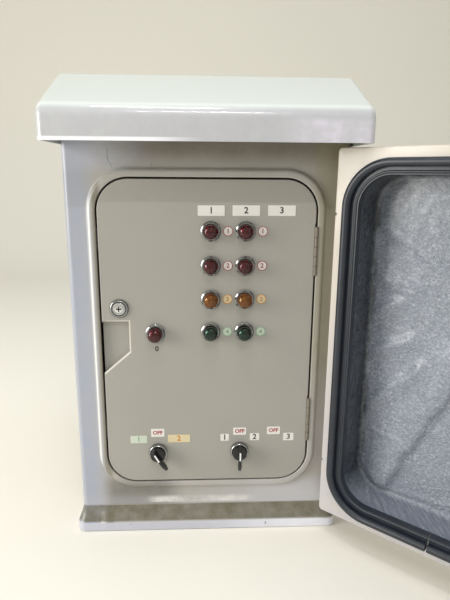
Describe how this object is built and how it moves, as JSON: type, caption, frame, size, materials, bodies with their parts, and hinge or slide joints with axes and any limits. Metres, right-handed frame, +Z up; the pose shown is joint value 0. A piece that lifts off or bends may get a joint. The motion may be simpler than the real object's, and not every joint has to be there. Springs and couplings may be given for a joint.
{
  "type": "traffic signal controller cabinet",
  "caption": "Roadside controller cabinet in glass fibre with a sloped hood, a deep sealed outer door on offset hinges, and an inner door with signal lamps, selector switches and a lock.",
  "frame": {"origin": "centre of the foot's underside, at mid width and mid depth of the body", "axes": "+X to the right seen from the front, +Y from the front into the cabinet, +Z up"},
  "size_m": [0.7328, 0.5596, 0.701],
  "materials": {
    "shell_grp": "moulded glass fibre, grey, lightly weathered",
    "hood_grp": "moulded glass fibre, pale grey, glossy",
    "door_grp": "moulded glass fibre, pale grey",
    "panel_paint": "satin grey paint",
    "seal_rubber": "extruded black rubber, satin",
    "zinc_steel": "zinc plated",
    "stainless": "stainless, lightly brushed",
    "bezel_chrome": "bright",
    "black_plastic": "moulded, satin",
    "lens_red": "translucent red",
    "lens_amber": "translucent amber",
    "lens_green": "translucent green",
    "grey_plastic": "moulded, fine grain",
    "pale_plastic": "moulded, fine grain",
    "case_aluminium": "anodised",
    "terminal_plastic": "moulded",
    "brass_bar": "plain",
    "gland_plastic": "moulded nylon"
  },
  "bodies": {
    "cabinet": {"cabinet_shell": "shell_grp", "hood": "hood_grp", "hood_bolts": "zinc_steel", "outer_hinge_arms": "stainless", "outer_hinge_screws": "stainless", "inner_hinge_body_leaves": "stainless", "inner_door_stops": "zinc_steel", "gland_plate": "zinc_steel", "gland_plate_screws": "zinc_steel", "cable_glands": "gland_plastic", "plate_standoffs": "zinc_steel", "mounting_plate": "zinc_steel", "plate_screws": "zinc_steel", "din_rails": "zinc_steel", "controller_unit": "grey_plastic", "power_supply": "case_aluminium", "circuit_breaker": "pale_plastic", "relay_row": "grey_plastic", "terminal_blocks": "terminal_plastic", "earth_bar": "brass_bar"},
    "outer_door": {"outer_door_shell": "door_grp", "door_seal": "seal_rubber", "outer_hinge_carriers": "stainless", "outer_hinge_pins": "stainless", "outer_lock_barrel": "bezel_chrome", "outer_lock_nut": "zinc_steel"},
    "outer_lock": {"outer_lock_spindle": "zinc_steel", "outer_lock_cam": "zinc_steel", "outer_lock_screw": "zinc_steel"},
    "inner_door": {"inner_door": "panel_paint", "inner_hinge_door_leaves": "stainless", "inner_hinge_pins": "stainless", "inner_lock_barrel": "bezel_chrome", "inner_lock_nut": "zinc_steel", "lamp_bodies": "black_plastic", "lamp_bezels": "bezel_chrome", "lamp_lens_1": "lens_red", "lamp_lens_2": "lens_red", "lamp_lens_3": "lens_amber", "lamp_lens_4": "lens_green", "lamp_lens_5": "lens_red", "lamp_lens_6": "lens_red", "lamp_lens_7": "lens_amber", "lamp_lens_8": "lens_green", "lamp_lens_9": "lens_red", "fitting_nuts": "black_plastic", "selector_bodies": "black_plastic", "selector_bezels": "bezel_chrome"},
    "inner_lock": {"inner_lock_plug": "zinc_steel", "inner_lock_cam": "zinc_steel", "inner_lock_screw": "zinc_steel"},
    "selector_1": {"selector_knob_1": "black_plastic"},
    "selector_2": {"selector_knob_2": "black_plastic"},
    "breaker_lever": {"breaker_lever": "black_plastic"}
  },
  "joints": [
    {"name": "outer_door_hinge", "type": "hinge", "parent": "cabinet", "child": "outer_door", "pos_m": [0.193, -0.1495, 0.323], "axis": [0, 0, 1], "range_deg": [-138, 3]},
    {"name": "inner_door_hinge", "type": "hinge", "parent": "cabinet", "child": "inner_door", "pos_m": [0.15725, -0.133, 0.324], "axis": [0, 0, 1], "range_deg": [0, 110]},
    {"name": "outer_lock_turn", "type": "hinge", "parent": "outer_door", "child": "outer_lock", "pos_m": [0.47511, -0.33085, 0.327], "axis": [-0.6691, -0.7431, 0], "range_deg": [0, 90]},
    {"name": "inner_lock_turn", "type": "hinge", "parent": "inner_door", "child": "inner_lock", "pos_m": [-0.13, -0.133, 0.373], "axis": [0, -1, 0], "range_deg": [0, 90]},
    {"name": "selector_1_turn", "type": "hinge", "parent": "inner_door", "child": "selector_1", "pos_m": [-0.078, -0.133, 0.1395], "axis": [0, -1, 0], "range_deg": [-60, 0]},
    {"name": "selector_2_turn", "type": "hinge", "parent": "inner_door", "child": "selector_2", "pos_m": [0.05, -0.133, 0.14], "axis": [0, -1, 0], "range_deg": [-30, 30]},
    {"name": "breaker_lever_turn", "type": "hinge", "parent": "cabinet", "child": "breaker_lever", "pos_m": [0.134, 0.0383, 0.344], "axis": [-1, 0, 0], "range_deg": [0, 70]}
  ]
}
